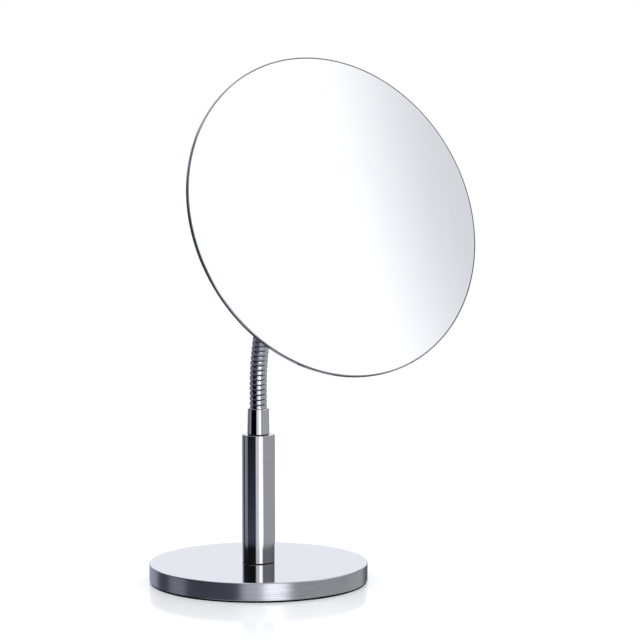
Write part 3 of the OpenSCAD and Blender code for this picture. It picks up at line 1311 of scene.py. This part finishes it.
@dataclass
class Studio:
    """A pale floor, an even white sky and the cards that the metal reflects.

    Attributes:
        camera_at: The camera's place.
        bearing: The camera's heading in degrees, clockwise from +y.
        dip: How far the camera looks down, in degrees.
        sensor: The camera's sensor in mm.
        lens: Its focal length in mm.
        sky: The even light on matt surfaces.
        room: What metal reflects between the cards, low down and overhead, sRGB hex.
        room_rise: The elevations between which one turns into the other, in degrees.
        floor_half: Half the floor's side.
        floor_drop: How far the floor lies below the pad, so that their faces don't meet.
        floor_glow: How much brighter the camera sees the floor, up to white.
        polish: How much of the floor's reflection is a clear one at the base.
        polish_fades: The radii between which that reflection fades.
        cards: The cards, each in front of those before it.
    """

    camera_at: tuple[float, float, float] = (-0.7592, -1.3043, 0.3023)
    bearing: float = 31.7
    dip: float = 5.08
    sensor: float = 36.0
    lens: float = 133.85
    sky: float = 1.0
    room: tuple[str, str] = ("A2A5AC", "E4E6EA")
    room_rise: tuple[float, float] = (20.0, 60.0)
    floor_half: float = 6.0
    floor_drop: float = 0.00002
    floor_glow: float = 0.29
    polish: float = 0.26
    polish_fades: tuple[float, float] = (0.08, 0.19)
    cards: tuple[Card, ...] = (
        # The pale floor, and the dim room between it and the cards
        Card(0, 360, -95, -58, 0.8, soft_rise=4),
        Card(0, 360, -58, -9, 0.06, soft_rise=4),
        # A grey wall to the right
        Card(68, 80, -38, 8, 0.5, tint="FBFDFF", soft=14, soft_rise=6),
        Card(118, 66, -24, 8, 0.5, tint="FBFDFF", soft=14, soft_rise=6),
        Card(142, 50, -42, -20, 0.8, tint="FBFDFF", soft=12, soft_rise=8),
        Card(162, 30, -16, 2, 0.12, tint="FBFDFF", soft=10, soft_rise=6),
        # Dark walls to the left, with a paler strip between them
        Card(-158, 58, -28, 20, 0.56, tint="E2E6FF", soft=8),
        Card(-119, 24, -50, 26, 0.1, tint="E2E6FF", soft=8, soft_rise=4),
        Card(-94, 24, -46, 26, 0.4, tint="E6EAFF", soft=8),
        # A black flag left of the softbox, lit a little by the floor
        Card(-48, 64, -46, -10.3, 0.2, tint="D8DCFF", soft=8, soft_rise=3),
        Card(-48, 64, -10.3, 22, 0.004, tint="C4CAFF", soft=6, soft_rise=3),
        Card(-75, 110, 24, 62, 0.16, tint="E2E6FF", soft=12, soft_rise=10),
        # A dark strip above the horizon, for the base's top
        Card(-69, 104, 6, 26, 0.01, soft=4, soft_rise=5),
        Card(92.5, 115, 8, 26, 0.19, tint="FBFDFF", soft=14, soft_rise=5),
        # The tall softbox in front, brighter towards its right edge
        Card(18, 70, -36, -10, 0.5, soft=14, soft_rise=8),
        Card(19.5, 30, -17.5, -10, 4.6, soft=10, soft_rise=5),
        Card(6.5, 44, -13, 22, 0.95, soft=6, soft_rise=6),
        Card(18, 20, -13, 22, 2.2, tint="FFFFFF", soft=6, soft_rise=6),
        # The white wall far behind
        Card(172, 116, 26, 95, 0.95, tint="F7FAFF", soft=14, soft_rise=10),
        Card(180, 50, 2, 60, 1.06, tint="F7FAFF", soft=14, soft_rise=8),
        # A window and its shaded edge, for the mirror's face
        Card(46, 60, 18, 60, 0.76, tint="F7F8FF", soft=16),
        Card(78.2, 46, 18, 60, 1.17, tint="FBFAFF", soft=7, slant=0.36),
    )

    def build(self) -> None:
        """Makes the camera, the world and the floor."""
        data = bpy.data.cameras.new("camera")
        data.sensor_width = self.sensor
        data.lens = self.lens
        camera = bpy.data.objects.new("camera", data)
        camera.location = self.camera_at
        camera.rotation_euler = (
            math.radians(90.0 - self.dip), 0.0, math.radians(-self.bearing)
        )
        bpy.context.scene.collection.objects.link(camera)
        scene = bpy.context.scene
        scene.camera = camera
        scene.view_settings.view_transform = "Standard"
        scene.world = self._world()
        self._floor()

    def _world(self) -> bpy.types.World:
        """Makes the sky: white to the camera, even to matt surfaces, cards to metal.

        Returns:
            The world.
        """
        world = bpy.data.worlds.new("studio")
        tree = emptied_tree(world)
        world.cycles.sampling_method = "NONE"
        here = add_node(tree, "ShaderNodeTexCoord").outputs["Generated"]
        split = add_node(tree, "ShaderNodeSeparateXYZ", {0: here})
        x, y, z = (Number(tree, part) for part in split.outputs)
        heading = math.radians(self.bearing)
        right = x * math.cos(heading) - y * math.sin(heading)
        toward = x * -math.sin(heading) - y * math.cos(heading)
        around = right.calc("ARCTAN2", toward) * math.degrees(1)
        height = z.calc("ARCSINE") * math.degrees(1)
        low, overhead = (srgb(code) for code in self.room)
        bare_room = {0: height.ease(*self.room_rise), 6: low, 7: overhead}
        light = add_node(tree, "ShaderNodeMix", bare_room, data_type="RGBA").outputs[2]
        for card in self.cards:
            middle = height * card.slant + card.middle
            aside = (around - middle).calc("WRAP", 180.0, -180.0).calc("ABSOLUTE")
            beside, below, above = (
                angle.ease(edge - soft / 2, edge + soft / 2)
                for angle, edge, soft in (
                    (aside, card.width / 2, card.soft),
                    (height, card.low, card.soft_rise),
                    (height, card.high, card.soft_rise),
                )
            )
            cover = (1.0 - beside) * (below - above)
            lit = {0: cover, 6: light, 7: [part * card.level for part in srgb(card.tint)]}
            light = add_node(tree, "ShaderNodeMix", lit, data_type="RGBA").outputs[2]
        cards = add_node(tree, "ShaderNodeBackground", {0: light, 1: 1.0})
        even = add_node(tree, "ShaderNodeBackground", {0: srgb("FFFFFF"), 1: self.sky})
        ray = add_node(tree, "ShaderNodeLightPath").outputs["Is Glossy Ray"]
        both = {0: ray, 1: even.outputs[0], 2: cards.outputs[0]}
        seen = add_node(tree, "ShaderNodeMixShader", both)
        add_node(tree, "ShaderNodeOutputWorld", {0: seen.outputs[0]})
        return world

    def _floor(self) -> None:
        """Makes the pale floor, with a faint polish round the foot of the base."""
        mesh = bpy.data.meshes.new("floor")
        half = self.floor_half
        sides = ((-half, -half), (half, -half), (half, half), (-half, half))
        mesh.from_pydata([(x, y, -self.floor_drop) for x, y in sides], [], [(0, 1, 2, 3)])
        floor = shown("floor", mesh)
        floor.visible_glossy = False
        material = bpy.data.materials.new("white lacquered table")
        tree = emptied_tree(material)
        here = add_node(tree, "ShaderNodeTexCoord").outputs["Object"]
        split = add_node(tree, "ShaderNodeSeparateXYZ", {0: here})
        x, y, _ = (Number(tree, part) for part in split.outputs)
        radius = (x * x + y * y) ** 0.5
        polish = (1.0 - radius.ease(*self.polish_fades)) * self.polish
        matt = add_node(tree, "ShaderNodeBsdfDiffuse", {"Color": srgb("E0E2E6")})
        clear_coat = {"Color": srgb("FFFFFF"), "Roughness": 0.08}
        gloss = add_node(tree, "ShaderNodeBsdfGlossy", clear_coat)
        mixed = {0: polish, 1: matt.outputs[0], 2: gloss.outputs[0]}
        surface = add_node(tree, "ShaderNodeMixShader", mixed)
        ray = add_node(tree, "ShaderNodeLightPath")
        lift = Number(tree, ray.outputs["Is Camera Ray"]) * self.floor_glow
        glow = add_node(tree, "ShaderNodeEmission", {"Color": srgb("FFFFFF"), "Strength": lift})
        total = add_node(tree, "ShaderNodeAddShader", {0: surface.outputs[0], 1: glow.outputs[0]})
        # Clear from below, where the object's underside shows through
        below = add_node(tree, "ShaderNodeNewGeometry").outputs["Backfacing"]
        clear = add_node(tree, "ShaderNodeBsdfTransparent")
        both = {0: below, 1: total.outputs[0], 2: clear.outputs[0]}
        two_sided = add_node(tree, "ShaderNodeMixShader", both)
        add_node(tree, "ShaderNodeOutputMaterial", {0: two_sided.outputs[0]})
        dress(floor, material)


def main() -> None:
    """Builds the studio and the object, and logs each piece."""
    logging.basicConfig(level=logging.INFO, format="%(name)s: %(message)s", stream=sys.stdout)
    FRAME.update(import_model())
    Studio().build()
    neck = Gooseneck()
    head = MirrorHead()
    lean = Matrix.Rotation(math.radians(neck.lean), 4, "X")
    place = Matrix.Translation(neck.at(neck.length + neck.upper_l + head.depth)) @ lean
    back = place @ Matrix.Translation((0.0, 0.0, -head.depth))
    made = [*Base().build(), *Column().build(), *neck.build(back), *head.build(place)]
    for piece in made:
        LOG.info("%s: %d faces", piece.name, len(piece.data.polygons))


if __name__ == "__main__":
    main()
